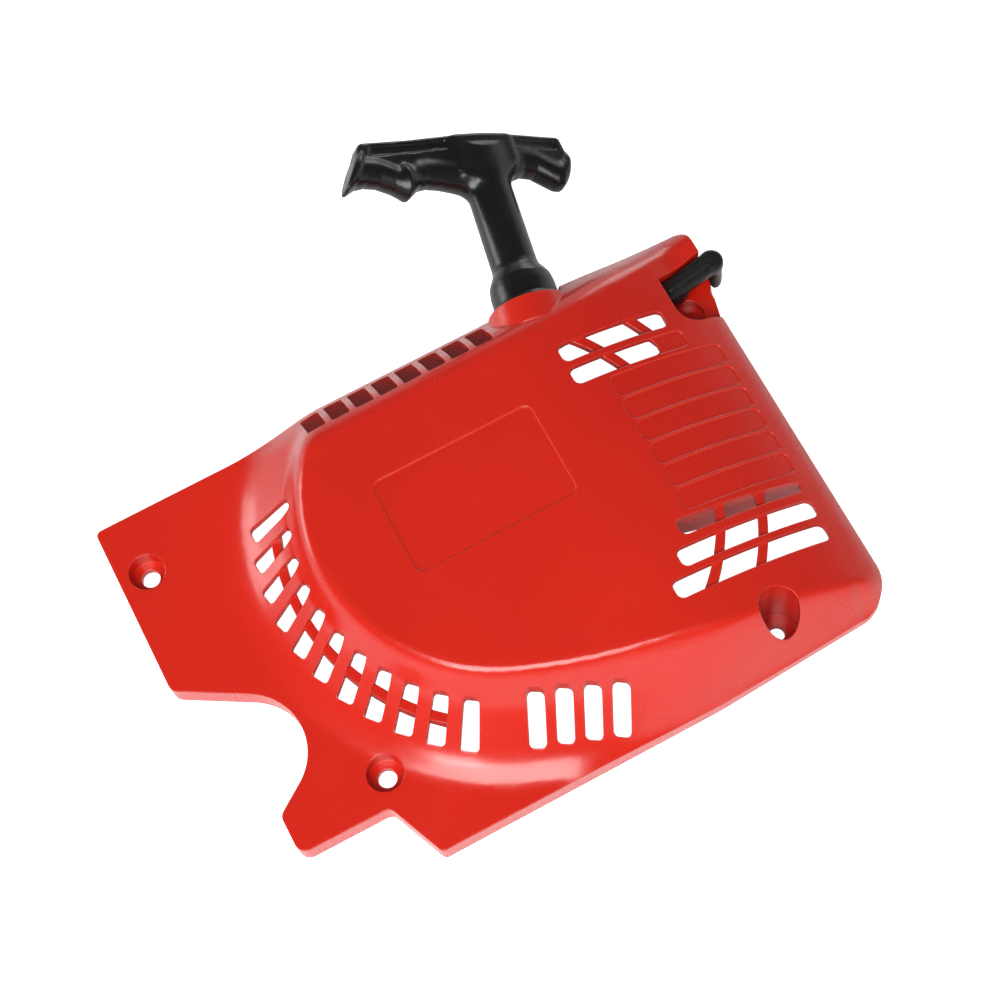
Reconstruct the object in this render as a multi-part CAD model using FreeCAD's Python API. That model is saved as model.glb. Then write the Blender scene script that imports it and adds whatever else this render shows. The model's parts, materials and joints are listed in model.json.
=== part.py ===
import FreeCAD, Part
import math
import os
from FreeCAD import Placement, Rotation, Vector

# Recoil starter of a small two-stroke engine: a moulded fan housing with a rope reel, a
# recoil spring and a pull handle.  Millimetres.  The origin is on the crankshaft axis, in
# the plane of the mounting rim.  +Z points away from the engine, +X along the long edge
# and +Y towards the edge that the rope leaves from.

# ---------------------------------------------------------------- driving dimensions
WALL = 2.5                 # wall thickness of the moulded housing
PLATEAU_Z = 40.0           # outer face of the flat top
BEND_X = 16.0              # from here to the right the top bends down
BEND_RADIUS = 136.0        # radius of that bend, about an axis along Y
FLANGE_Z = 10.0            # outer face of the left flange
FLANGE_END_Z = 4.0         # the same level where it has run down to the right corner
TOP_RIM_RISE = 9.0         # the rim on the rope side stands this much above the flange
TOP_RIM_DROP = 5.0         # and comes down this much again towards the right-hand corner
FULL_HEIGHT = 60.0         # taller than anything, for cutters

CREST_RADIUS = 67.6        # plan radius of the crest round the fan
CREST_END = math.radians(247.0)      # where the round crest passes into a flatter arc
CREST_ARC_RADIUS = 213.0
CREST_ARC_END = math.radians(261.0)  # where that arc passes into a straight crest
CREST_WALL_Z = 37.0        # level of the wall on the crest line
STEEP_SLOPE = 2.6          # fall of the wall just outside the crest
SHOULDER_OUT = 3.6         # distance outside the crest where the vent slope starts
SHOULDER_Z = 27.6
VENT_SLOPE = 0.936         # fall of the vent slope on the left
WALL_SLOPE = 1.69          # fall of the lower wall in the middle
RIM_SLOPE = 2.6            # steepest fall of the wall above the lower right rim
SHOULDER_RISE = 1.85       # the shoulder is this much higher on the right
TOP_WALL_CREST_Y = 45.0    # where that wall would meet the plateau

TOP_Y = 60.0               # rope side of the rim
BOTTOM_Y = -92.8
RIGHT_X = 96.3
LEFT_X = -126.0
CORNER_R = 12.0            # plan radius of the lower right corner
CORNER_X = RIGHT_X - CORNER_R
CORNER_Y = -76.6           # centre of that corner
RIGHT_EDGE_Z = 14.3        # height of the right-hand edge, where the bend ends
LUMP_Z = 17.8              # top of the corner beyond the strap, above the bend
RIM_END_Y = 38.0           # in the corner recess, where the right-hand wall gives way to that corner

SCREWS = {                 # x, y, radius and floor height of the recess, radius of the hole
    "left_flange": (-115.8, 39.0, 6.2, 3.0, 3.2),
    "foot": (-76.3, -61.0, 6.2, 3.0, 3.2),
    "lower_right": (58.0, -79.0, 6.8, 3.0, 2.7),
}
CORNER_DISH = (87.2, 32.8, 5.6, 4.5)     # the same for the blind dish in the corner recess

ROPE_RADIUS = 1.7
ROPE_Z = 21.0              # height of the rope and of the middle of the reel
ROPE_ANGLE = 11.0          # degrees from +Y towards +X
ROPE_EXIT = Vector(39.3, 59.5, ROPE_Z)
ROPE_DIRECTION = Vector(math.sin(math.radians(ROPE_ANGLE)), math.cos(math.radians(ROPE_ANGLE)), 0)
HANDLE_TILT = 28.0         # degrees that the T-bar is turned about the rope

POST_R = 5.0
POST_END_Z = 14.0
REEL_FLANGE_R = 33.0
REEL_DRUM_R = 19.6
REEL_LOWER_Z = (15.2, 17.2)
REEL_UPPER_Z = (24.8, 26.8)
CASSETTE_R = 32.5
CASSETTE_Z = (27.8, 36.2)
EAR_X = (-35.6, 35.6)      # the two screws that hold the spring cassette
EAR_Z = (31.0, 33.4)

PARTS = {}


# ---------------------------------------------------------------- small helpers
def cylinder(radius, low, high, x=0.0, y=0.0):
    return Part.makeCylinder(radius, high - low, Vector(x, y, low))


def tube(outer, inner, low, high, x=0.0, y=0.0):
    return cylinder(outer, low, high, x, y).cut(cylinder(inner, low - 1, high + 1, x, y))


def fused(first, *others):
    return first.fuse(list(others)).removeSplitter()


def rounded_polygon(corners, low, high):
    """Prism over a polygon whose corners are (x, y, radius)."""
    count = len(corners)
    points = [Vector(x, y, 0) for x, y, _ in corners]
    edges = []
    previous_end = None
    first_start = None
    for i, (_, _, radius) in enumerate(corners):
        here = points[i]
        to_last = (points[i - 1] - here).normalize()
        to_next = (points[(i + 1) % count] - here).normalize()
        half = to_last.getAngle(to_next) / 2
        reach = radius / math.tan(half)
        start = here + to_last * reach
        end = here + to_next * reach
        bisector = (to_last + to_next).normalize()
        middle = here + bisector * (radius / math.sin(half) - radius)
        if previous_end is not None:
            edges.append(Part.makeLine(previous_end, start))
        else:
            first_start = start
        edges.append(Part.Arc(start, middle, end).toShape())
        previous_end = end
    edges.append(Part.makeLine(previous_end, first_start))
    face = Part.Face(Part.Wire(edges))
    face.translate(Vector(0, 0, low))
    return face.extrude(Vector(0, 0, high - low))


def rounded_box(x_range, y_range, z_range, radius):
    (x0, x1), (y0, y1), (z0, z1) = x_range, y_range, z_range
    corners = [(x0, y0, radius), (x1, y0, radius), (x1, y1, radius), (x0, y1, radius)]
    return rounded_polygon(corners, z0, z1)


def slot_between(start, end, widths, end_radius):
    """Vertical cutter from start to end in plan, with its width at each of them."""
    length = math.hypot(end[0] - start[0], end[1] - start[1])
    half_start, half_end = widths[0] / 2, widths[1] / 2
    corners = [(0, -half_start), (length, -half_end), (length, half_end), (0, half_start)]
    cutter = rounded_polygon([(x, y, end_radius) for x, y in corners], -1, FULL_HEIGHT)
    angle = math.degrees(math.atan2(end[1] - start[1], end[0] - start[0]))
    cutter.Placement = Placement(Vector(start[0], start[1], 0), Rotation(Vector(0, 0, 1), angle))
    return cutter


def polar(radius, degrees):
    return radius * math.cos(math.radians(degrees)), radius * math.sin(math.radians(degrees))


def ring_sector(outer, inner, low, high, start_deg, sweep_deg, x=0.0, y=0.0):
    """Part of a tube, from start_deg and sweep_deg wide."""
    half = Part.makeCylinder(outer, high - low, Vector(0, 0, low), Vector(0, 0, 1), sweep_deg)
    half = half.cut(cylinder(inner, low - 1, high + 1))
    half.rotate(Vector(0, 0, 0), Vector(0, 0, 1), start_deg)
    half.translate(Vector(x, y, 0))
    return half


def revolved(profile):
    """Solid of revolution about Z from (radius, z) points."""
    wire = Part.makePolygon([Vector(r, 0, z) for r, z in profile + profile[:1]])
    return Part.Face(wire).revolve(Vector(0, 0, 0), Vector(0, 0, 1), 360)


def along_rope(shape):
    """Moves a shape built along +Z from the origin onto the rope line at the exit."""
    shape = shape.copy()
    turn = Rotation(Vector(0, 0, 1), ROPE_DIRECTION)
    shape.Placement = Placement(ROPE_EXIT, turn).multiply(shape.Placement)
    return shape


def in_handle(shape):
    """Moves a shape from the handle's own frame (X along the bar, Y along the shaft)."""
    shape = shape.copy()
    turn = Rotation(ROPE_DIRECTION, HANDLE_TILT).multiply(Rotation(Vector(0, 0, 1), -ROPE_ANGLE))
    shape.Placement = Placement(ROPE_EXIT, turn).multiply(shape.Placement)
    return shape


# ---------------------------------------------------------------- housing: outer form
def soft_min(a, b, width):
    share = max(width - abs(a - b), 0) / width
    return min(a, b) - share * share * width / 4


def soft_max(a, b, width):
    return -soft_min(-a, -b, width)


def ease(t):
    t = min(max(t, 0), 1)
    return t * t * (3 - 2 * t)


def outside_crest(x, y):
    """Plan distance outside the crest line: a circle, then a flatter arc, then a line."""
    joint = (CREST_RADIUS * math.cos(CREST_END), CREST_RADIUS * math.sin(CREST_END))
    reach = CREST_ARC_RADIUS
    centre = (joint[0] - reach * math.cos(CREST_END), joint[1] - reach * math.sin(CREST_END))
    if math.cos(CREST_END) * y - math.sin(CREST_END) * x < 0:
        return math.hypot(x, y) - CREST_RADIUS
    dx, dy = x - centre[0], y - centre[1]
    if math.cos(CREST_ARC_END) * dy - math.sin(CREST_ARC_END) * dx < 0:
        return math.hypot(dx, dy) - reach
    return dx * math.cos(CREST_ARC_END) + dy * math.sin(CREST_ARC_END) - reach


def rim_wall(x, y, foot_z):
    """Wall that rises from the lower rim, round the lower right corner and up to the recess."""
    if y > RIM_END_Y or (y > CORNER_Y and x <= CORNER_X):
        return 2 * FULL_HEIGHT
    if y > CORNER_Y:
        return RIGHT_EDGE_Z + RIM_SLOPE * (RIGHT_X - x)
    rim_y = BOTTOM_Y + 0.5 + 3.8 * max(x - 30, 0) / 66.3
    if x <= CORNER_X:
        return foot_z + RIM_SLOPE * (y - rim_y)
    turn = math.atan2(x - CORNER_X, CORNER_Y - y) / (math.pi / 2)
    inside = CORNER_R - math.hypot(x - CORNER_X, y - CORNER_Y)
    return foot_z + (RIGHT_EDGE_Z - foot_z) * ease(turn) + RIM_SLOPE * inside


def skin_height(x, y, inset):
    """Height of the moulded skin, or of a face that lies inset below it."""
    plateau = PLATEAU_Z - inset
    if x > BEND_X:
        radius = BEND_RADIUS - inset
        plateau = PLATEAU_Z - BEND_RADIUS + math.sqrt(radius ** 2 - (x - BEND_X) ** 2)
        plateau = soft_max(plateau, LUMP_Z - inset - 1.2 * max(46 - y, 0), 3)
    out = outside_crest(x, y)
    right = ease((x + 25) / 60)
    steep = CREST_WALL_Z - STEEP_SLOPE * out - inset * math.hypot(1, STEEP_SLOPE)
    slope = VENT_SLOPE + right * (WALL_SLOPE - VENT_SLOPE)
    shoulder = SHOULDER_Z + right * SHOULDER_RISE
    gentle = shoulder - slope * (out - SHOULDER_OUT) - inset * math.hypot(1, slope)
    wall = soft_max(steep, gentle, 5)
    rim_z = FLANGE_Z + TOP_RIM_RISE * ease((x + 75) / 35) - TOP_RIM_DROP * ease((x - 48) / 40)
    fall = (PLATEAU_Z - rim_z) / (TOP_Y - TOP_WALL_CREST_Y)
    top_wall = rim_z + fall * (TOP_Y - y) - inset * math.hypot(1, fall)
    flange = FLANGE_Z - (FLANGE_Z - FLANGE_END_Z) * ease((x + 40) / 110) - inset
    rim = rim_wall(x, y, FLANGE_Z - (FLANGE_Z - FLANGE_END_Z) * ease((x + 40) / 110))
    rim = rim - inset * math.hypot(1, RIM_SLOPE)
    body = soft_min(soft_min(soft_min(plateau, wall, 9), rim, 7), top_wall, 9)
    return soft_max(body, flange, 7 - 4 * right)


def below_skin(inset):
    """Everything under the skin, as one block with a smooth top."""
    x_low, x_high, y_low, y_high, step = -132.0, 108.0, -98.0, 66.0, 2.5
    columns = int((x_high - x_low) / step) + 1
    rows = int((y_high - y_low) / step) + 1
    grid = []
    for i in range(columns):
        x = x_low + step * i
        grid.append([Vector(x, y_low + step * j, skin_height(x, y_low + step * j, inset))
                     for j in range(rows)])
    surface = Part.BSplineSurface()
    surface.interpolate(grid)
    return surface.toShape().extrude(Vector(0, 0, -2 * FULL_HEIGHT))


def rim_prism(inset):
    """The housing's outline as a prism, drawn in by inset all round."""
    outline = rounded_polygon([
        (-125.5, TOP_Y, 2), (LEFT_X, -2.6, 4), (-93.3, -22.2, 20.2), (-93.3, -44.6, 20.2),
        (-112.2, -57.5, 3.5), (-112.2, -72, 4), (-80, -72, 3), (-71.5, BOTTOM_Y, 2),
        (30, BOTTOM_Y + 0.5, 150), (RIGHT_X, BOTTOM_Y + 4.3, CORNER_R), (RIGHT_X, 26, 2),
        (100, 42, 3), (100, TOP_Y, 5)], 0, FULL_HEIGHT)
    face = [face for face in outline.Faces if face.BoundBox.ZMax < 0.01][0]
    if inset:
        face = face.makeOffset2D(-inset, 0, False, False, False)
    return face.extrude(Vector(0, 0, FULL_HEIGHT))


def under_bend(inset):
    """Prism below the plateau and its bend, drawn in by inset, for what follows them."""
    radius = BEND_RADIUS - inset
    top = PLATEAU_Z - inset
    end_x = 108.0
    drop = math.sqrt(radius ** 2 - (end_x - BEND_X) ** 2)
    mid_x = (BEND_X + end_x) / 2
    mid_z = PLATEAU_Z - BEND_RADIUS + math.sqrt(radius ** 2 - (mid_x - BEND_X) ** 2)
    start = Vector(BEND_X, 0, top)
    end = Vector(end_x, 0, PLATEAU_Z - BEND_RADIUS + drop)
    arc = Part.Arc(start, Vector(mid_x, 0, mid_z), end).toShape()
    corner = [end, Vector(end_x, 0, -5), Vector(-60, 0, -5), Vector(-60, 0, top), start]
    wire = Part.Wire([arc] + [Part.makeLine(a, b) for a, b in zip(corner, corner[1:])])
    solid = Part.Face(wire).extrude(Vector(0, 180, 0))
    solid.translate(Vector(0, -100, 0))
    return solid


# ---------------------------------------------------------------- housing: openings
FAN_SLOT_COUNT = 11
FAN_SLOT_WIDTHS = (5.1, 6.4)             # at the inner and the outer end
LOWER_SLOT_COUNT = 4
LOWER_SLOT_WIDTH = 5.7


def fan_vents():
    """Eleven slots round the fan on the left and four beside them at the bottom."""
    cutters = []
    for i in range(FAN_SLOT_COUNT):
        inner = polar(70.8, 154.5 + 7.98 * i)
        outer = polar(84.9, 158.7 + 7.58 * i)
        cutters.append(slot_between(inner, outer, FAN_SLOT_WIDTHS, 1.3))
    for i in range(LOWER_SLOT_COUNT):
        inner = (-22.5 + 8.5 * i, -65.4 - 3.3 * i)
        outer = (-29.5 + 8.55 * i, -78.9 - 3.0 * i)
        cutters.append(slot_between(inner, outer, (LOWER_SLOT_WIDTH, LOWER_SLOT_WIDTH), 1.7))
    return cutters


def top_wall_vents():
    """Row of eight windows in the wall on the rope side."""
    pitch = 8.9
    width = 6.7
    left = -47.7
    return [rounded_box((left + pitch * i, left + pitch * i + width), (45.8, 57.6),
                        (-1, FULL_HEIGHT), 0.8) for i in range(8)]


ROW_PITCH = 9.0
ROW_TOP_Y = 29.2
ROW_HEIGHT = 6.7
BAFFLE = [(41.5, -39.2), (88.5, -41.5)]    # wall under the skin, along the top of row 8
OPEN_ROWS = {0: (37.3, 76.0), 1: (37.0, 68.4), 9: (37.0, 87.0), 10: (30.5, 86.3)}
BAFFLED_ROW = [(42.0, -45.3, 2.4), (86.8, -45.3, 2.4), (86.8, -41.4, 1.2), (42.0, -39.2, 1.6)]


def row_vents():
    """Open rows of the grille on the right."""
    cutters = []
    for row, ends in OPEN_ROWS.items():
        y = ROW_TOP_Y - ROW_PITCH * row
        span = (y - ROW_HEIGHT / 2, y + ROW_HEIGHT / 2)
        cutters.append(rounded_box(ends, span, (-1, FULL_HEIGHT), 2.4))
    cutters.append(rounded_polygon(BAFFLED_ROW, -1, FULL_HEIGHT))
    return cutters


def row_flutes():
    """Blind rows of the grille: shallow flutes that follow the bend."""
    depth = 0.45
    flute_height = 8.2
    shallow = []
    for row in range(2, 8):
        y = ROW_TOP_Y - ROW_PITCH * row
        span = (y - flute_height / 2, y + flute_height / 2)
        shallow.append(rounded_box((47.3, 88.6), span, (0, FULL_HEIGHT), 2.5))
    y = ROW_TOP_Y - ROW_PITCH
    shallow.append(rounded_box((66.0, 79.0), (y - 3.3, y + 3.3), (0, FULL_HEIGHT), 2.4))
    block = shallow[0].fuse(shallow[1:])
    return block.cut(under_bend(depth))


def grille_bars():
    """Two curved bars behind the open rows, a little below the skin."""
    sunk = 1.3
    deep = 4.6
    band = under_bend(sunk).cut(under_bend(deep))
    bars = []
    for radius, start, sweep in ((69.8, 17, 26), (72.0, -52, 35), (85.7, 17, 26), (85.7, -44, 27)):
        bars.append(ring_sector(radius + 1.6, radius - 1.6, 0, FULL_HEIGHT, start, sweep, -8.2, -12))
    return [bar.common(band) for bar in bars]


def baffle():
    """Wall under the skin, between the blind rows and the open rows below them."""
    (x0, y0), (x1, y1) = BAFFLE
    length = math.hypot(x1 - x0, y1 - y0)
    profile = [(0, FULL_HEIGHT), (0, 23.5), (14.5, 15.0), (24.5, 8.0), (length, 2.5), (length, FULL_HEIGHT)]
    plate = Part.Face(Part.makePolygon([Vector(u, 0, z) for u, z in profile + profile[:1]]))
    plate = plate.extrude(Vector(0, 1.6, 0))
    turn = math.degrees(math.atan2(y1 - y0, x1 - x0))
    plate.Placement = Placement(Vector(x0, y0, 0), Rotation(Vector(0, 0, 1), turn))
    return plate.common(under_bend(1.0))


def screw_places():
    """Bosses to add, and the head recesses and holes to cut, for the three screws."""
    bosses = []
    cutters = []
    for x, y, recess, floor_z, hole in SCREWS.values():
        bosses.append(cylinder(recess + 2.2, 0, FULL_HEIGHT, x, y))
        cutters.append(cylinder(recess, floor_z, FULL_HEIGHT, x, y))
        cutters.append(cylinder(hole, -1, FULL_HEIGHT, x, y))
    return bosses, cutters


SEAT_E = -3.9              # the handle rests on a round seat, this far from the rope exit
RECESS_FLOOR_Z = 9.0
RECESS = [(81.8, 25.2, 6.5), (112, 25.2, 1), (112, 51.7, 1), (81.8, 44.3, 1.5)]


def pocket_space():
    """The corner recess, carried on down so that the dish stays inside it."""
    return rounded_polygon(RECESS, -1, FULL_HEIGHT)


def make_housing():
    outer = rim_prism(0).common(below_skin(0))
    cavity = rim_prism(WALL).common(below_skin(WALL))
    shell = outer.cut(cavity)
    pocket = rounded_polygon(RECESS, RECESS_FLOOR_Z, FULL_HEIGHT)
    lining = rounded_polygon([(79.3, 22.7, 8.5), (114, 22.7, 1), (114, 54.8, 1), (79.3, 46.3, 2)],
                             RECESS_FLOOR_Z - WALL, FULL_HEIGHT)
    x, y, dish_r, dish_z = CORNER_DISH
    dish_wall = cylinder(dish_r + 2, dish_z - 2, RECESS_FLOOR_Z, x, y)
    dish = cylinder(dish_r, dish_z, FULL_HEIGHT, x, y).common(pocket_space())
    bosses, screw_cuts = screw_places()
    spout = along_rope(Part.makeCone(16.0, 14.6, 14 + SEAT_E, Vector(0, 0, -14)))
    seat = along_rope(Part.makeCylinder(12.6, 20, Vector(0, 0, SEAT_E)))
    ring = tube(35.0, CASSETTE_R + 0.4, 30.0, 38.5).cut(Part.makeBox(90, 9, 6, Vector(-45, -4.5, EAR_Z[1] - 6)))
    room = cylinder(CASSETTE_R + 0.4, 26, FULL_HEIGHT)
    ear_bosses = [cylinder(3.6, EAR_Z[1], 38.5, x, 0).cut(room) for x in EAR_X]
    ear_bores = [cylinder(1.6, EAR_Z[1] - 1, 37.5, x, 0) for x in EAR_X]
    post = fused(cylinder(POST_R, POST_END_Z, 38.5), cylinder(6.0, 30.0, 38.5))
    added = bosses + ear_bosses + [lining, dish_wall, ring, post]
    shell = shell.fuse([piece.common(outer) for piece in added])
    shell = shell.cut(fan_vents() + top_wall_vents() + row_vents() + [row_flutes()])
    fan_rib = ring_sector(78.4, 75.1, 15.0, 20.2, 160, 71)
    shell = shell.fuse([fan_rib, spout, baffle()] + grille_bars())
    label = rounded_box((-38.0, 20.0), (-16.5, 18.5), (PLATEAU_Z - 0.5, FULL_HEIGHT), 3.0)
    rope_bore = along_rope(Part.makeCylinder(4.55, 40, Vector(0, 0, -25)))
    insert_bore = cylinder(3.02, POST_END_Z - 1, 24.5)
    shell = shell.cut(screw_cuts + ear_bores + [pocket, dish, label, seat, rope_bore, insert_bore])
    return shell.removeSplitter()


# ---------------------------------------------------------------- pieces on the housing
def make_eyelet():
    bush = fused(Part.makeCylinder(4.5, 10, Vector(0, 0, SEAT_E - 10)),
                 Part.makeCylinder(6.5, 1.2, Vector(0, 0, SEAT_E)))
    bore = fused(Part.makeCylinder(2.6, 20, Vector(0, 0, SEAT_E - 12)),
                 Part.makeCone(2.6, 4.2, 1.6, Vector(0, 0, SEAT_E - 0.3)))
    return along_rope(bush.cut(bore))


def make_corner_strap():
    """Rubber strap lying in the corner recess, hooked over the right-hand edge."""
    angle = 9.0
    width = 7.0
    thickness = 4.2
    top_z = 18.0
    hook_x = 18.9
    length = 24.0
    flat = rounded_box((0, length), (-width / 2, width / 2), (0, thickness), 3.2)
    hook = rounded_box((hook_x, length), (-width / 2, width / 2), (-11.0, thickness), 2.2)
    root = rounded_box((0.2, 6.0), (-width / 2, width / 2), (RECESS_FLOOR_Z - top_z + thickness, 1), 1)
    strap = fused(flat, hook, root)
    strap = strap.makeFillet(1.0, [e for e in strap.Edges if e.BoundBox.ZMin > thickness - 0.01])
    strap.Placement = Placement(Vector(82.5, 39.8, top_z - thickness),
                                Rotation(Vector(0, 0, 1), angle))
    return strap


def make_cassette():
    low, high = CASSETTE_Z
    cup = cylinder(CASSETTE_R, low, high).cut(cylinder(CASSETTE_R - 1.2, low - 1, high - 1.2))
    ears = [rounded_box((-39.2, 39.2), (-4, 4), EAR_Z, 3.5)]
    cup = cup.fuse(ears).cut([cylinder(CASSETTE_R - 1.2, low - 1, high - 1.2), cylinder(10, low, high + 1)])
    return cup.cut([cylinder(1.8, low, high + 1, x, 0) for x in EAR_X]).removeSplitter()


def make_recoil_spring():
    """Flat spiral strip, wound from the inner hook to the outer hook."""
    inner, outer, turns, strip = 9.4, 29.6, 9, 0.45
    low, high = 29.3, 34.7
    steps_per_turn = 24
    count = turns * steps_per_turn
    sides = []
    for shift in (-strip / 2, strip / 2):
        side = []
        for i in range(count + 1):
            share = i / count
            radius = inner + (outer - inner) * share + shift
            turn = 2 * math.pi * turns * share
            side.append(Vector(radius * math.cos(turn), radius * math.sin(turn), low))
        sides.append(side)
    edges = []
    for side in sides:
        curve = Part.BSplineCurve()
        curve.interpolate(side)
        edges.append(curve.toShape())
    ends = [Part.makeLine(sides[0][i], sides[1][i]) for i in (0, -1)]
    wire = Part.Wire([edges[0], ends[1], edges[1], ends[0]])
    return Part.Face(wire).extrude(Vector(0, 0, high - low))


def make_retaining_screw():
    head = revolved([(0, 9.6), (3.4, 9.6), (4.4, 10.4), (4.7, 11.6), (4.7, 12.9), (0, 12.9)])
    shank = cylinder(2.05, 12.9, 23.0)
    slots = [Part.makeBox(5.4, 1.1, 2.2, Vector(-2.7, -0.55, 9.3)),
             Part.makeBox(1.1, 5.4, 2.2, Vector(-0.55, -2.7, 9.3))]
    return fused(head, shank).cut(slots)


def make_cassette_screws():
    screws = []
    under = EAR_Z[0]
    for x in EAR_X:
        screw = fused(cylinder(3.0, under - 2.2, under, x, 0), cylinder(1.55, under, 37.3, x, 0))
        screws.append(screw.cut(Part.makeBox(4.4, 0.9, 1.2, Vector(x - 2.2, -0.45, under - 2.8))))
    return Part.makeCompound(screws)


# ---------------------------------------------------------------- reel
def make_reel():
    lower_low, lower_high = REEL_LOWER_Z
    upper_low, upper_high = REEL_UPPER_Z
    hub = cylinder(11.0, 14.4, upper_high)
    neck = cylinder(8.8, upper_high - 0.5, 34.4)
    lower = cylinder(REEL_FLANGE_R, lower_low, lower_high)
    upper = cylinder(REEL_FLANGE_R, upper_low, upper_high)
    drum = tube(REEL_DRUM_R, 17.0, lower_low, upper_high)
    cup = tube(23.0, 19.5, 4.0, lower_high)
    body = fused(hub, neck, lower, upper, drum, cup)
    teeth = [ratchet_tooth(60 * i) for i in range(6)]
    windows = [ring_sector(16.9, 11.1, 10, lower_high, 60 * i + 8, 44) for i in range(6)]
    body = body.fuse(teeth).cut(windows)
    knot_hole = Part.makeCylinder(1.95, 12, Vector(13, 0, ROPE_Z), Vector(1, 0, 0))
    knot_hole.rotate(Vector(0, 0, 0), Vector(0, 0, 1), 200)
    bores = [cylinder(8.35, 10, upper_high - 1), cylinder(7.0, 10, 40), knot_hole]
    bores.append(Part.makeBox(5, 1.0, 5.6, Vector(6.5, -0.5, 29.6)))
    return body.cut(bores).removeSplitter()


def ratchet_tooth(degrees):
    """One ramp inside the ratchet cup that the engine's pawls catch on."""
    points = [polar(20.5, 0), polar(16.4, 2), polar(18.0, 18), polar(19.9, 34), polar(21.0, 20)]
    wire = Part.makePolygon([Vector(x, y, 4.0) for x, y in points + points[:1]])
    tooth = Part.Face(wire).extrude(Vector(0, 0, 11.5))
    tooth.rotate(Vector(0, 0, 0), Vector(0, 0, 1), degrees)
    return tooth


def make_wound_rope():
    """Rope on the drum, two turns wide and two layers deep, as one closed ring."""
    core = tube(24.0, REEL_DRUM_R + 0.3, 17.6, 24.4)
    beads = []
    for z in (19.3, 22.7):
        beads.append(Part.makeTorus(23.6, ROPE_RADIUS - 0.1, Vector(0, 0, z)))
    return core.fuse(beads).removeSplitter()


def make_reel_knot():
    knot = revolved([(0, -2.4), (1.4, -2.1), (2.3, -1.1), (2.5, 0), (2.3, 1.1), (1.7, 2.0), (1.7, 5.6),
                     (0, 5.6)])
    knot.Placement = Placement(Vector(14.0, 0, ROPE_Z), Rotation(Vector(0, 0, 1), Vector(1, 0, 0)))
    knot.rotate(Vector(0, 0, 0), Vector(0, 0, 1), 200)
    return knot


# ---------------------------------------------------------------- rope end and handle
KNOT_SEAT = 50.6           # distance from the rope exit to the knot in the handle


def make_rope_run():
    back = ROPE_EXIT.dot(ROPE_DIRECTION)
    return along_rope(Part.makeCylinder(ROPE_RADIUS, back + KNOT_SEAT, Vector(0, 0, -back)))


def make_handle_knot():
    knot = Part.makeSphere(3.7, Vector(0, 0, KNOT_SEAT + 3.0))
    knot = knot.cut(Part.makeBox(20, 20, 10, Vector(-10, -10, KNOT_SEAT - 10)))
    return along_rope(knot)


def make_grip():
    """T-handle: a long wing with two finger grooves, a short one with one, and a shaft."""
    lower_edge = [(36.0, 49.4), (31.2, 43.6), (27.6, 43.6), (19.2, 48.4), (11.6, 47.8),
                  (8.0, 43.5), (8.0, 30.0), (-8.0, 30.0), (-8.0, 39.5), (-11.0, 40.6),
                  (-25.0, 46.6), (-32.2, 41.8), (-46.4, 47.0), (-51.2, 44.8), (-53.6, 42.2),
                  (-56.2, 42.8)]
    points = [Vector(x, y, -8) for x, y in lower_edge]
    top_left = Vector(-45.8, 63.4, -8)
    top_right = Vector(35.4, 65.4, -8)
    top = Part.Arc(top_left, Vector(-3, 65.6, -8), top_right).toShape()
    lines = [Part.makeLine(a, b) for a, b in zip(points, points[1:])]
    wire = Part.Wire([top, Part.makeLine(top_right, points[0])] + lines
                     + [Part.makeLine(points[-1], top_left)])
    bar = Part.Face(wire).extrude(Vector(0, 0, 16))
    taper = [(-60, 4.2), (-22, 5.9), (-7, 6.7), (7, 6.7), (20, 5.9), (40, 3.8)]
    sides = [Vector(x, 0, z) for x, z in taper] + [Vector(x, 0, -z) for x, z in reversed(taper)]
    slab = Part.Face(Part.makePolygon(sides + sides[:1])).extrude(Vector(0, 80, 0))
    bar = bar.common(slab)
    across = Rotation(Vector(1, 0, 0), -90)
    foot = SEAT_E + 0.7
    shaft = revolved([(0, foot), (11.8, foot), (11.6, 3), (10.8, 7.8), (9.3, 10.4), (8.0, 12.0),
                      (8.0, 50), (0, 50)])
    shaft.Placement = Placement(Vector(0, 0, 0), across)
    grip = fused(bar, shaft)
    cuts = [Part.makeCylinder(8.6, 5.6, Vector(0, 0, -3.4)), Part.makeCylinder(2.3, 60, Vector(0, 0, -3.4)),
            Part.makeCylinder(5.0, 30, Vector(0, 0, KNOT_SEAT - 1.2))]
    for cut in cuts:
        cut.Placement = Placement(Vector(0, 0, 0), across).multiply(cut.Placement)
    return in_handle(grip.cut(cuts))


def handle_disc(outer, inner, low, high):
    disc = tube(outer, inner, low, high) if inner else cylinder(outer, low, high)
    return along_rope(disc)


# ---------------------------------------------------------------- all the pieces
PARTS["starter_housing"] = make_housing()
PARTS["rope_eyelet"] = make_eyelet()
PARTS["hub_insert"] = tube(3.0, 2.1, POST_END_Z, 24.0)
PARTS["hub_sleeve"] = tube(6.5, POST_R + 0.05, POST_END_Z, 27.5)
PARTS["spring_cassette"] = make_cassette()
PARTS["recoil_spring"] = make_recoil_spring()
PARTS["spring_cover"] = tube(31.1, 10.2, 28.0, 28.8)
PARTS["thrust_washer"] = tube(16.0, 9.4, 27.0, 27.7)
PARTS["retaining_washer"] = tube(9.0, 2.7, 12.9, POST_END_Z)
PARTS["retaining_screw"] = make_retaining_screw()
PARTS["cassette_screws"] = make_cassette_screws()
PARTS["corner_strap"] = make_corner_strap()
PARTS["rope_reel"] = make_reel()
PARTS["reel_bush"] = tube(8.3, 6.55, 14.4, 25.6)
PARTS["rope_wound"] = make_wound_rope()
PARTS["reel_knot"] = make_reel_knot()
PARTS["rope_run"] = make_rope_run()
PARTS["handle_knot"] = make_handle_knot()
PARTS["handle_grip"] = make_grip()
PARTS["knot_washer"] = handle_disc(4.7, 2.3, KNOT_SEAT - 1.1, KNOT_SEAT)
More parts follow.
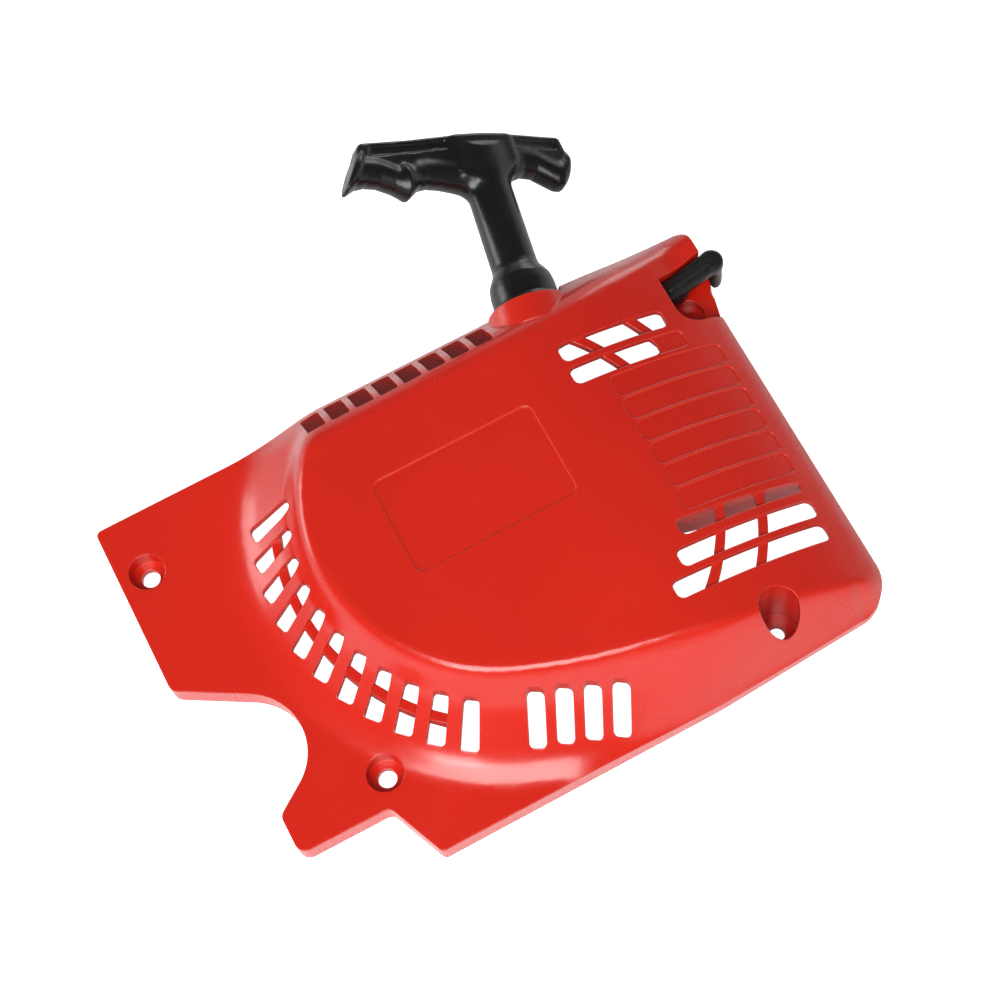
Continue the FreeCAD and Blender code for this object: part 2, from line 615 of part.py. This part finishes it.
PARTS["handle_plug"] = handle_disc(4.9, 0, 60.0, 64.0)

os.makedirs("parts", exist_ok=True)
for name, shape in PARTS.items():
    if not shape.isValid():
        print("not valid:", name)
    shape.exportStep("parts/%s.step" % name)
    print("%-18s solids %d volume %9.1f" % (name, len(shape.Solids), shape.Volume))
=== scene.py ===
import json
import math

import bpy
import numpy as np
from mathutils import Matrix, Vector


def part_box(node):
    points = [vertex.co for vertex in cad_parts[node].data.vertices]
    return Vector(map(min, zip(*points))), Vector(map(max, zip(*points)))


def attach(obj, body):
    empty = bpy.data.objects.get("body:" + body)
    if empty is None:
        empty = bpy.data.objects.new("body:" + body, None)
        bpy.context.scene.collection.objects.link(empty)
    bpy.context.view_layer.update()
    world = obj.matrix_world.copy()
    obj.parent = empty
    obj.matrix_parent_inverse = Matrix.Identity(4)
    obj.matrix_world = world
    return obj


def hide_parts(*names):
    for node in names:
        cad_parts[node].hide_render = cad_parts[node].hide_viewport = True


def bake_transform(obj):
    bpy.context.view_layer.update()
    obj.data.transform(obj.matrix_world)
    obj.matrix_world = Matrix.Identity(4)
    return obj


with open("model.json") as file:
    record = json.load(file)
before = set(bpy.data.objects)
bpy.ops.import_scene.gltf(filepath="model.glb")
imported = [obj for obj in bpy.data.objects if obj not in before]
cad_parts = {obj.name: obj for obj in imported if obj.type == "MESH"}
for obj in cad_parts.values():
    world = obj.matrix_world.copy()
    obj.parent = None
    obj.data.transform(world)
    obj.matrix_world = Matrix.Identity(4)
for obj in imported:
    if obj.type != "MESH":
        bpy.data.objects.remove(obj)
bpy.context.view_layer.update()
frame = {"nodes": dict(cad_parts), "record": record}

MM = 0.001
joints = {joint["name"]: joint for joint in frame["record"]["behaviour"]["joints"]}
ROPE_EXIT = Vector(joints["handle_swivel"]["pos_m"])
ROPE_DIRECTION = Vector(joints["handle_swivel"]["axis"]).normalized()
HANDLE_TILT = math.radians(28)           # turn of the T-bar about the rope at rest


# ---------------------------------------------------------------- camera
def make_camera():
    """Looks down on the housing from its long lower edge, a little from the left."""
    azimuth, tilt, roll = (math.radians(a) for a in (16.3, 21.03, 12.0))
    turn = Matrix.Rotation(roll, 3, "Z") @ Matrix.Rotation(-tilt, 3, "X") @ Matrix.Rotation(azimuth, 3, "Z")
    place = turn.transposed() @ Vector((-0.0031, 0.0067, 0.8261))
    camera = bpy.data.objects.new("camera", bpy.data.cameras.new("camera"))
    camera.data.sensor_width = 36.0
    camera.data.lens = 88.2
    camera.data.clip_start = 0.01
    camera.matrix_world = Matrix.Translation(place) @ turn.transposed().to_4x4()
    bpy.context.scene.collection.objects.link(camera)
    bpy.context.scene.camera = camera


# ---------------------------------------------------------------- materials
def node_of(tree, kind, **sockets):
    """A shader node of that kind, with the given input sockets set."""
    node = tree.nodes.new(kind)
    for name, value in sockets.items():
        node.inputs[name.replace("_", " ")].default_value = value
    return node


def noise(tree, place, scale, detail=3.0, roughness=0.55):
    node = node_of(tree, "ShaderNodeTexNoise", Scale=scale, Detail=detail, Roughness=roughness)
    tree.links.new(place, node.inputs["Vector"])
    return node.outputs["Fac"]


def spread(tree, value, low, high, to_low, to_high):
    """Maps low..high onto to_low..to_high, held at both ends."""
    node = tree.nodes.new("ShaderNodeMapRange")
    for index, number in enumerate((low, high, to_low, to_high), start=1):
        node.inputs[index].default_value = number
    tree.links.new(value, node.inputs[0])
    return node.outputs[0]


def arithmetic(tree, operation, a, b):
    node = tree.nodes.new("ShaderNodeMath")
    node.operation = operation
    for socket, value in zip(node.inputs, (a, b)):
        if isinstance(value, (int, float)):
            socket.default_value = value
        else:
            tree.links.new(value, socket)
    return node.outputs[0]


def tinted(tree, share, colour_a, colour_b):
    """Colour between two others: colour_a where share is 0, colour_b where it is 1."""
    node = tree.nodes.new("ShaderNodeMix")
    node.data_type = "RGBA"
    for socket, colour in ((node.inputs[6], colour_a), (node.inputs[7], colour_b)):
        if isinstance(colour, tuple):
            socket.default_value = (*colour, 1)
        else:
            tree.links.new(colour, socket)
    tree.links.new(share, node.inputs[0])
    return node.outputs[2]


def edge_share(tree, rounded):
    """Near 1 where an edge is, from how far the rounded normal leans off the true one."""
    geometry = tree.nodes.new("ShaderNodeNewGeometry")
    dot = tree.nodes.new("ShaderNodeVectorMath")
    dot.operation = "DOT_PRODUCT"
    tree.links.new(rounded, dot.inputs[0])
    tree.links.new(geometry.outputs["Normal"], dot.inputs[1])
    return spread(tree, dot.outputs["Value"], 0.995, 0.8, 0.0, 1.0)


def finish_material(name, dark, light, roughness, patches=14.0, grain=900.0, grain_depth=0.02,
                    metallic=0.0, coat=0.0, edge_radius=0.0, edge_wear_and_highlight_colour=None, streaks=None):
    """Material with patches of two near colours, uneven gloss, a fine grain and lighter edges: wear on most
    parts, and on the housing a painted highlight along every edge.
    """
    material = bpy.data.materials.new(name)
    material.use_nodes = True
    tree = material.node_tree
    shader = tree.nodes["Principled BSDF"]
    shader.inputs["Metallic"].default_value = metallic
    shader.inputs["Coat Weight"].default_value = coat
    shader.inputs["Coat Roughness"].default_value = 0.12
    place = tree.nodes.new("ShaderNodeTexCoord").outputs["Object"]
    if streaks:
        mapping = node_of(tree, "ShaderNodeMapping", Scale=streaks)
        tree.links.new(place, mapping.inputs["Vector"])
        streak_place = mapping.outputs[0]
    else:
        streak_place = place
    blotch = spread(tree, noise(tree, streak_place, patches, 4), 0.35, 0.68, 0, 1)
    colour = tinted(tree, blotch, dark, light)
    fine = noise(tree, place, grain, 1)
    gloss = arithmetic(tree, "ADD", spread(tree, noise(tree, streak_place, patches * 5, 5), 0.3, 0.7,
                                           roughness[0], roughness[1]),
                       spread(tree, fine, 0.3, 0.7, -0.02, 0.03))
    bump = node_of(tree, "ShaderNodeBump", Strength=0.2, Distance=grain_depth * MM)
    if edge_radius:
        bevel = node_of(tree, "ShaderNodeBevel", Radius=edge_radius)
        bevel.samples = 6
        tree.links.new(bevel.outputs[0], bump.inputs["Normal"])
        # Lighter colour along edges: on the housing this is a painted highlight, on the other parts wear.
        if edge_wear_and_highlight_colour:
            colour = tinted(tree, edge_share(tree, bevel.outputs[0]), colour, edge_wear_and_highlight_colour)
    tree.links.new(fine, bump.inputs["Height"])
    tree.links.new(colour, shader.inputs["Base Color"])
    tree.links.new(gloss, shader.inputs["Roughness"])
    tree.links.new(bump.outputs[0], shader.inputs["Normal"])
    return material


def rope_material():
    """Braided nylon: crossing strands in two shades, on the piece's own UV map."""
    material = bpy.data.materials.new("rope_nylon")
    material.use_nodes = True
    tree = material.node_tree
    shader = tree.nodes["Principled BSDF"]
    shader.inputs["Sheen Weight"].default_value = 0.3
    uv = tree.nodes.new("ShaderNodeTexCoord").outputs["UV"]
    strands = []
    for lean in (1, -1):
        mapping = node_of(tree, "ShaderNodeMapping", Scale=(1, 1, 1), Rotation=(0, 0, lean * 0.785))
        wave = node_of(tree, "ShaderNodeTexWave", Scale=4.0, Distortion=0.4)
        tree.links.new(uv, mapping.inputs["Vector"])
        tree.links.new(mapping.outputs[0], wave.inputs["Vector"])
        strands.append(wave.outputs["Fac"])
    braid = arithmetic(tree, "MULTIPLY", strands[0], strands[1])
    colour = tinted(tree, spread(tree, braid, 0.1, 0.7, 0, 1), (0.16, 0.15, 0.14), (0.62, 0.60, 0.55))
    bump = node_of(tree, "ShaderNodeBump", Strength=0.6, Distance=0.15 * MM)
    tree.links.new(braid, bump.inputs["Height"])
    tree.links.new(colour, shader.inputs["Base Color"])
    tree.links.new(spread(tree, braid, 0, 1, 0.85, 0.6), shader.inputs["Roughness"])
    tree.links.new(bump.outputs[0], shader.inputs["Normal"])
    return material


MATERIALS = {
    # The housing's lighter red edge colour is a painted highlight along its edges.
    "housing_plastic": finish_material(
        "housing_plastic", (0.66, 0.016, 0.006), (0.72, 0.020, 0.008), (0.20, 0.27), patches=11,
        grain=1500, grain_depth=0.012, coat=0.25, edge_radius=0.7 * MM, edge_wear_and_highlight_colour=(0.80, 0.055, 0.03)),
    "grip_plastic": finish_material(
        "grip_plastic", (0.0045, 0.0045, 0.005), (0.0075, 0.007, 0.007), (0.24, 0.34), patches=40,
        grain=1800, grain_depth=0.02),
    "strap_rubber": finish_material(
        "strap_rubber", (0.005, 0.005, 0.005), (0.012, 0.0115, 0.0115), (0.3, 0.46), patches=90,
        grain=2400, grain_depth=0.04),
    "rope_nylon": rope_material(),
    "reel_plastic": finish_material(
        "reel_plastic", (0.020, 0.020, 0.022), (0.032, 0.032, 0.034), (0.38, 0.5), patches=60,
        grain=1500, edge_radius=0.3 * MM, edge_wear_and_highlight_colour=(0.07, 0.07, 0.07)),
    "cassette_plastic": finish_material(
        "cassette_plastic", (0.028, 0.028, 0.031), (0.042, 0.042, 0.045), (0.42, 0.55), patches=60,
        grain=1500, edge_radius=0.3 * MM, edge_wear_and_highlight_colour=(0.09, 0.09, 0.09)),
    "spring_steel": finish_material(
        "spring_steel", (0.20, 0.21, 0.24), (0.34, 0.35, 0.38), (0.22, 0.4), patches=60, grain=2600,
        grain_depth=0.01, metallic=1.0, streaks=(1, 1, 12)),
    "plated_steel": finish_material(
        "plated_steel", (0.50, 0.49, 0.44), (0.66, 0.65, 0.60), (0.2, 0.38), patches=120, grain=2600,
        grain_depth=0.01, metallic=1.0, edge_radius=0.2 * MM, edge_wear_and_highlight_colour=(0.8, 0.79, 0.75)),
    "bush_brass": finish_material(
        "bush_brass", (0.55, 0.36, 0.13), (0.72, 0.52, 0.22), (0.22, 0.4), patches=120, grain=2600,
        grain_depth=0.01, metallic=1.0),
}


def dress_cad_nodes():
    for entry in frame["record"]["subparts"]:
        node = frame["nodes"][entry["node"]]
        node.data.materials.clear()
        node.data.materials.append(MATERIALS[entry["material_slot"]])


# ---------------------------------------------------------------- mesh helpers
def new_piece(name, mesh, slot):
    """Object for a finished mesh, smooth-shaded and in its slot's material."""
    piece = bpy.data.objects.new(name, mesh)
    bpy.context.scene.collection.objects.link(piece)
    mesh.materials.clear()
    mesh.materials.append(MATERIALS[slot])
    mesh.shade_smooth()
    return piece


def skin_of(field, low, high, step):
    """Mesh of the surface where field(x, y, z) is zero; it is negative inside. Lengths are in mm.

    One vertex for each grid cell that the surface crosses, at the mean of its crossings, and
    one quad round each grid edge that it crosses."""
    lines = [np.arange(a, b + step, step) for a, b in zip(low, high)]
    value = field(*np.meshgrid(*lines, indexing="ij", sparse=True))
    cells = tuple(n - 1 for n in value.shape)
    total = np.zeros(cells + (3,))
    count = np.zeros(cells)
    crossings = []
    for axis in range(3):
        near = np.moveaxis(value, axis, 0)[:-1]
        far = np.moveaxis(value, axis, 0)[1:]
        crossed = (near < 0) != (far < 0)
        at = np.argwhere(crossed)
        share = near[crossed] / (near[crossed] - far[crossed])
        spot = at.astype(float)
        spot[:, 0] += share
        others = [a for a in range(3) if a != axis]
        order = np.argsort([axis] + others)
        inside_first = near[crossed] < 0
        kept = np.all([(at[:, k] > 0) & (at[:, k] < value.shape[others[k - 1]] - 1) for k in (1, 2)], axis=0)
        at, spot, inside_first = at[kept], spot[kept], inside_first[kept]
        corners = []
        for shift in ((0, 1, 1), (0, 0, 1), (0, 0, 0), (0, 1, 0)):
            cell = (at - shift)[:, order]
            np.add.at(total, tuple(cell.T), spot[:, order])
            np.add.at(count, tuple(cell.T), 1)
            corners.append(cell)
        crossings.append((corners, inside_first != (axis == 1)))
    number = np.full(cells, -1)
    filled = count > 0
    number[filled] = np.arange(int(filled.sum()))
    places = total[filled] / count[filled][:, None] * step + np.array(low)
    faces = []
    for corners, forward in crossings:
        quads = np.stack([number[tuple(cell.T)] for cell in corners], 1)
        quads[forward] = quads[forward][:, ::-1]
        faces.append(quads)
    mesh = bpy.data.meshes.new("skin")
    mesh.from_pydata((places * MM).tolist(), [], np.concatenate(faces).tolist())
    return mesh


def soft_union(a, b, width):
    share = np.clip(0.5 + 0.5 * (b - a) / width, 0, 1)
    return b + (a - b) * share - width * share * (1 - share)


def soft_cut(a, b, width):
    """Part of a that lies inside b as well, with a rounded edge between them."""
    return -soft_union(-a, -b, width)


def eased(t):
    t = np.clip(t, 0, 1)
    return t * t * (3 - 2 * t)


def outline_distance(x, y, points):
    """Distance in plan from a closed outline, negative inside."""
    nearest = np.full(np.broadcast(x, y).shape, 1e9)
    inside = np.zeros(nearest.shape, bool)
    for (x0, y0), (x1, y1) in zip(points, points[1:] + points[:1]):
        run_x, run_y = x1 - x0, y1 - y0
        t = np.clip(((x - x0) * run_x + (y - y0) * run_y) / (run_x ** 2 + run_y ** 2), 0, 1)
        nearest = np.minimum(nearest, np.hypot(x - x0 - t * run_x, y - y0 - t * run_y))
        if run_y:
            inside ^= ((y0 > y) != (y1 > y)) & (x < x0 + (y - y0) * run_x / run_y)
    return np.where(inside, -nearest, nearest)


# ---------------------------------------------------------------- T-handle
LOWER_EDGE = [        # along the bar, distance from the rope exit; fingers close round this edge
    (-54.8, 44.4), (-52.4, 45.8), (-50.0, 47.1), (-46.0, 47.9), (-41.5, 47.4), (-36.5, 45.2),
    (-33.2, 43.0), (-31.6, 42.1), (-30.0, 43.2), (-26.8, 45.8), (-23.0, 46.6), (-18.5, 46.2),
    (-13.5, 45.0), (-8.0, 43.4), (0.0, 43.0), (7.0, 45.6), (10.5, 48.4), (15.0, 50.0),
    (19.5, 49.2), (24.0, 46.0), (27.0, 44.0), (29.2, 43.7), (31.6, 46.0), (33.8, 50.0)]
UPPER_EDGE = [(-55.0, 45.8), (-45.9, 62.9), (-44.6, 63.5), (-20.0, 64.3), (0.0, 64.5), (20.0, 64.2),
              (31.0, 63.6), (32.4, 62.8), (33.8, 53.6)]
SHAFT = [(-3.2, 11.9), (-2.3, 11.9), (-1.7, 11.4), (4.0, 11.3), (7.0, 10.9), (9.2, 9.8), (11.4, 8.5),
         (13.5, 8.05), (44.0, 7.9), (58.0, 7.4)]       # distance from the rope exit, radius
PANELS = [[(-44.0, 57.4), (-13.5, 58.8), (-13.5, 62.6), (-42.4, 61.8)],
          [(12.5, 58.6), (29.6, 57.8), (30.2, 61.8), (12.5, 62.4)]]


def grip_field(x, y, z):
    """T-handle: rounded grips under a flatter spine, blended into the shaft and its collar."""
    low = np.interp(x, *zip(*LOWER_EDGE))
    side = outline_distance(x, y, [(u, v - 0.8) for u, v in LOWER_EDGE] + UPPER_EDGE[::-1])
    middle = np.exp(-(x / 13) ** 4)
    left_end = (x - LOWER_EDGE[0][0] - 0.52 * (y - LOWER_EDGE[0][1])) * 0.887
    lip = 1 - eased((left_end - 1.2) / 1.4)
    radius = 5.3 + 1.3 * np.exp(-((x + 31.6) / 1.7) ** 2) + 0.9 * lip + 0.6 * middle
    spine = 3.9 + 2.9 * np.exp(-(x / 19) ** 2)
    up = y - low
    grip = np.hypot(radius - up, z) - radius
    block = soft_cut(soft_cut(np.abs(z) - 6.4, np.abs(x) - 11.5, 2), 3 - up, 2)
    plate = np.abs(z) - spine
    for panel in PANELS:
        plate = plate + 0.9 * eased(-outline_distance(x, y, panel) / 0.7)
    plate = np.maximum(plate, radius - up)
    bar = soft_cut(soft_union(soft_union(grip, plate, 1.2), block, 1.5), side, 1.8)
    radius_here = np.interp(y, *zip(*SHAFT))
    across = np.hypot(x, z)
    shaft = soft_cut((across - radius_here) * 0.9, np.maximum(SHAFT[0][0] - y, y - SHAFT[-1][0]), 0.7)
    whole = soft_union(bar, shaft, 3.4)
    for bore, start, end in ((8.6, -9, 2.2), (2.3, -9, 60), (5.0, 49.4, 80)):
        whole = np.maximum(whole, -np.maximum(across - bore, np.maximum(start - y, y - end)))
    return whole


def handle_place():
    """Matrix from the handle's own frame (X along the bar, Y along the shaft) to the row frame."""
    lean = math.atan2(ROPE_DIRECTION.x, ROPE_DIRECTION.y)
    turn = Matrix.Rotation(HANDLE_TILT, 4, ROPE_DIRECTION) @ Matrix.Rotation(-lean, 4, "Z")
    return Matrix.Translation(ROPE_EXIT) @ turn


def make_grip():
    mesh = skin_of(grip_field, (-58.0, -6.0, -14.0), (38.0, 68.0, 14.0), 0.5)
    mesh.transform(handle_place())
    grip = new_piece("grip_body", mesh, "grip_plastic")
    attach(grip, "handle")
    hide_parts("handle_grip")


# ---------------------------------------------------------------- corner strap
STRAP_ROOT = Vector((83.0, 40.7, 15.8))     # centre of the band where it comes out of its seat, mm
STRAP_LEAN = math.radians(9)
STRAP_RUN = 19.3                            # from the root to the middle of the round nose


def strap_field(x, y, z):
    """Rounded band along X with a round nose that curls down, in the strap's own frame."""
    half = 3.8
    along = np.clip(x, 0, STRAP_RUN)
    plan = np.hypot(x - along, y) - half
    band = soft_cut(plan, np.abs(z) - 2.4, 1.8)
    back = soft_cut(plan, STRAP_RUN - 1.4 - x, 2.0)
    curl = soft_cut(soft_cut(back, -15.2 - z, 2.2), z - 1.5, 1.5)
    foot = soft_cut(soft_cut(np.maximum(np.abs(y) - half, np.abs(x - 3) - 3), -6.2 - z, 1), z, 1)
    rib = np.hypot(y, z - 1.9) - 0.9
    rib = np.maximum(rib, np.abs(x - 9.5) - 8)
    whole = soft_union(soft_union(band, curl, 1.6), foot, 1.5)
    return soft_union(whole, rib, 1.2)


def make_strap():
    """Rubber strap: a rounded band out of the corner recess, curled over the right-hand edge."""
    mesh = skin_of(strap_field, (-5.0, -6.0, -18.0), (26.0, 6.0, 5.0), 0.4)
    mesh.transform(Matrix.Translation(STRAP_ROOT * MM) @ Matrix.Rotation(STRAP_LEAN, 4, "Z"))
    strap = new_piece("strap_loop", mesh, "strap_rubber")
    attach(strap, "housing")
    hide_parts("corner_strap")


# ---------------------------------------------------------------- rope
ROPE_RADIUS = 1.65
DRUM_TURNS = [(2.4, -1.7), (2.4, 1.7), (0.0, 1.7), (0.0, -1.7)]     # depth under the outer layer, height, mm
STEPS_IN_A_TURN = 96
SMOOTHED_OVER = 8                           # steps to each side, so that one turn runs into the next


def rope_tube(path, sides=12, twist=0.9):
    """Laid rope along a path: three strands that twist round it, with a UV map along it."""
    count = len(path)
    mesh = bpy.data.meshes.new("rope")
    places = []
    length = 0.0
    lengths = []
    for i, here in enumerate(path):
        length += (here - path[i - 1]).length if i else 0.0
        lengths.append(length)
        ahead = (path[min(i + 1, count - 1)] - path[max(i - 1, 0)]).normalized()
        side = ahead.cross(Vector((0, 0, 1))).normalized()
        up = side.cross(ahead)
        for k in range(sides):
            turn = 2 * math.pi * k / sides
            radius = (ROPE_RADIUS - 0.12 * (1 - abs(math.cos(1.5 * turn - twist * length / MM)))) * MM
            places.append(here + side * (radius * math.cos(turn)) + up * (radius * math.sin(turn)))
    faces = []
    for i in range(count - 1):
        for k in range(sides):
            j = (k + 1) % sides
            faces.append((i * sides + k, i * sides + j, (i + 1) * sides + j, (i + 1) * sides + k))
    faces.append(tuple(reversed(range(sides))))
    faces.append(tuple((count - 1) * sides + k for k in range(sides)))
    mesh.from_pydata(places, [], faces)
    uv = mesh.uv_layers.new(name="along")
    for loop in mesh.loops:
        i, k = divmod(loop.vertex_index, sides)
        uv.data[loop.index].uv = (lengths[i] / (4 * MM), 2.0 * k / sides)
    return mesh


def make_rope_run():
    """Stretch from the reel to the handle."""
    low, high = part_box("rope_run")
    start = ROPE_EXIT + ROPE_DIRECTION * ((low.y - ROPE_EXIT.y) / ROPE_DIRECTION.y + 1.0 * MM)
    end = ROPE_EXIT + ROPE_DIRECTION * ((high.y - ROPE_EXIT.y) / ROPE_DIRECTION.y - 1.0 * MM)
    rings = 360
    mesh = rope_tube([start.lerp(end, i / rings) for i in range(rings + 1)])
    rope = new_piece("rope_line", mesh, "rope_nylon")
    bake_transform(rope)
    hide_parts("rope_run")


def make_wound_rope():
    """Four turns in two layers on the drum, one running into the next."""
    low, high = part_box("rope_wound")
    middle = (low.z + high.z) / 2
    outer = high.x - (ROPE_RADIUS + 0.1) * MM
    path = []
    for depth, height in DRUM_TURNS:
        radius = outer - depth * MM
        for i in range(STEPS_IN_A_TURN):
            angle = 2 * math.pi * i / STEPS_IN_A_TURN
            path.append(Vector((radius * math.cos(angle), radius * math.sin(angle), middle + height * MM)))
    window = range(-SMOOTHED_OVER, SMOOTHED_OVER + 1)
    smooth = [sum((path[max(0, min(len(path) - 1, i + k))] for k in window), Vector()) / len(window)
              for i in range(len(path))]
    for point in smooth:
        flat = math.hypot(point.x, point.y)
        grow = min(1.0, outer / flat)
        point.x *= grow
        point.y *= grow
    mesh = rope_tube(smooth, sides=10)
    rope = new_piece("rope_turns", mesh, "rope_nylon")
    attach(rope, "reel")
    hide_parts("rope_wound")


# ---------------------------------------------------------------- floor and light
FLOOR_HALF = 3.0
FLOOR_LEVEL = -0.0006


def make_floor():
    mesh = bpy.data.meshes.new("floor")
    corners = [(-FLOOR_HALF, -FLOOR_HALF), (FLOOR_HALF, -FLOOR_HALF),
               (FLOOR_HALF, FLOOR_HALF), (-FLOOR_HALF, FLOOR_HALF)]
    mesh.from_pydata([(x, y, FLOOR_LEVEL) for x, y in corners], [], [(0, 1, 2, 3)])
    floor = bpy.data.objects.new("floor", mesh)
    bpy.context.scene.collection.objects.link(floor)
    material = bpy.data.materials.new("floor")
    material.use_nodes = True
    tree = material.node_tree
    shader = tree.nodes["Principled BSDF"]
    shader.inputs["Base Color"].default_value = (0.9, 0.9, 0.9, 1)
    shader.inputs["Roughness"].default_value = 0.9
    shader.inputs["Emission Color"].default_value = (1, 1, 1, 1)
    seen = tree.nodes.new("ShaderNodeLightPath").outputs["Is Camera Ray"]
    tree.links.new(spread(tree, seen, 0, 1, 0.1, 1.0), shader.inputs["Emission Strength"])
    mesh.materials.append(material)


def make_world():
    """Bright low surroundings and a dim ceiling, as in a white product tent."""
    world = bpy.data.worlds.new("studio")
    world.use_nodes = True
    tree = world.node_tree
    split = tree.nodes.new("ShaderNodeSeparateXYZ")
    tree.links.new(tree.nodes.new("ShaderNodeTexCoord").outputs["Generated"], split.inputs[0])
    strength = spread(tree, split.outputs["Z"], 0.08, 0.35, 0.8, 0.13)
    background = tree.nodes["Background"]
    background.inputs[0].default_value = (1, 1, 1, 1)
    tree.links.new(strength, background.inputs[1])
    bpy.context.scene.world = world


LIGHTS = [         # name, place in metres, side of the square, watts
    ("front", (-0.35, -0.55, 1.0), 0.7, 12.5),
    ("left", (-0.95, 0.75, 0.2), 0.5, 3.4),
    ("back", (0.75, 0.95, 0.15), 0.5, 2.0),
    ("crest", (-0.68, -0.62, 0.76), 0.25, 1.8)]


def make_lights():
    for name, place, size, power in LIGHTS:
        light = bpy.data.lights.new(name, "AREA")
        light.size = size
        light.energy = power
        lamp = bpy.data.objects.new(name, light)
        lamp.location = place
        lamp.rotation_euler = (-Vector(place)).to_track_quat("-Z", "Y").to_euler()
        bpy.context.scene.collection.objects.link(lamp)


make_camera()
dress_cad_nodes()
make_grip()
make_strap()
make_rope_run()
make_wound_rope()
make_floor()
make_world()
make_lights()
bpy.context.scene.view_settings.view_transform = "Standard"
